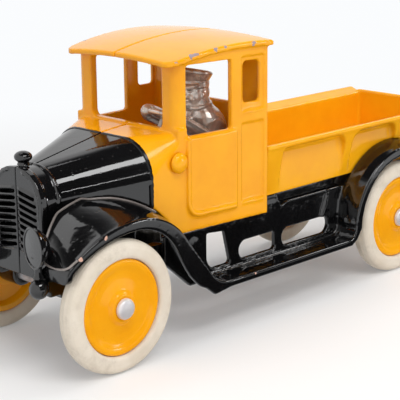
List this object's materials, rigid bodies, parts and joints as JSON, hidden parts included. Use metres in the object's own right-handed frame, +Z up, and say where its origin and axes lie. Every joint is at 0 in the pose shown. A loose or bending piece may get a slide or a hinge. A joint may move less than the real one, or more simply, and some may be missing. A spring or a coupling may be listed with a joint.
{
  "type": "toy truck",
  "caption": "Cast metal toy flatbed truck with an open bed, black hood and fenders, yellow cab with a seated driver, and disc wheels with white rubber tyres that roll.",
  "frame": {"origin": "centre of the bounding box on the floor, under the tyres", "axes": "+X towards the truck's front, +Y to its left, +Z up"},
  "size_m": [0.238, 0.0788, 0.1101],
  "materials": {
    "yellow_enamel": "gloss",
    "black_enamel": "gloss",
    "white_rubber": "matte",
    "axle_steel": "satin",
    "driver_metal": "satin"
  },
  "bodies": {
    "truck": {"chassis_frame": "black_enamel", "left_fender_unit": "black_enamel", "right_fender_unit": "black_enamel", "left_splash_apron": "black_enamel", "right_splash_apron": "black_enamel", "left_hood_half": "black_enamel", "right_hood_half": "black_enamel", "radiator_cap": "black_enamel", "left_headlamp": "black_enamel", "right_headlamp": "black_enamel", "left_cab_half": "yellow_enamel", "right_cab_half": "yellow_enamel", "cargo_bed": "yellow_enamel", "seat_bench": "yellow_enamel", "driver": "driver_metal", "steering_wheel": "driver_metal", "cowl_rivet": "yellow_enamel", "frame_rivet_front": "black_enamel", "frame_rivet_rear": "black_enamel", "bed_rivet_front": "yellow_enamel", "bed_rivet_rear": "yellow_enamel"},
    "front_axle": {"front_axle": "axle_steel"},
    "rear_axle": {"rear_axle": "axle_steel"},
    "front_left_wheel": {"front_left_wheel": "yellow_enamel", "front_left_tyre": "white_rubber"},
    "front_right_wheel": {"front_right_wheel": "yellow_enamel", "front_right_tyre": "white_rubber"},
    "rear_left_wheel": {"rear_left_wheel": "yellow_enamel", "rear_left_tyre": "white_rubber"},
    "rear_right_wheel": {"rear_right_wheel": "yellow_enamel", "rear_right_tyre": "white_rubber"}
  },
  "joints": [
    {"name": "front_axle_turn", "type": "hinge", "parent": "truck", "child": "front_axle", "pos_m": [0.09, 0, 0.02388], "axis": [0, 1, 0], "continuous": true},
    {"name": "rear_axle_turn", "type": "hinge", "parent": "truck", "child": "rear_axle", "pos_m": [-0.07, 0, 0.02388], "axis": [0, 1, 0], "continuous": true},
    {"name": "front_left_wheel_turn", "type": "hinge", "parent": "front_axle", "child": "front_left_wheel", "pos_m": [0.09, 0.0335, 0.02388], "axis": [0, 1, 0], "continuous": true},
    {"name": "front_right_wheel_turn", "type": "hinge", "parent": "front_axle", "child": "front_right_wheel", "pos_m": [0.09, -0.0335, 0.02388], "axis": [0, 1, 0], "continuous": true},
    {"name": "rear_left_wheel_turn", "type": "hinge", "parent": "rear_axle", "child": "rear_left_wheel", "pos_m": [-0.07, 0.0316, 0.02388], "axis": [0, 1, 0], "continuous": true},
    {"name": "rear_right_wheel_turn", "type": "hinge", "parent": "rear_axle", "child": "rear_right_wheel", "pos_m": [-0.07, -0.0316, 0.02388], "axis": [0, 1, 0], "continuous": true}
  ]
}
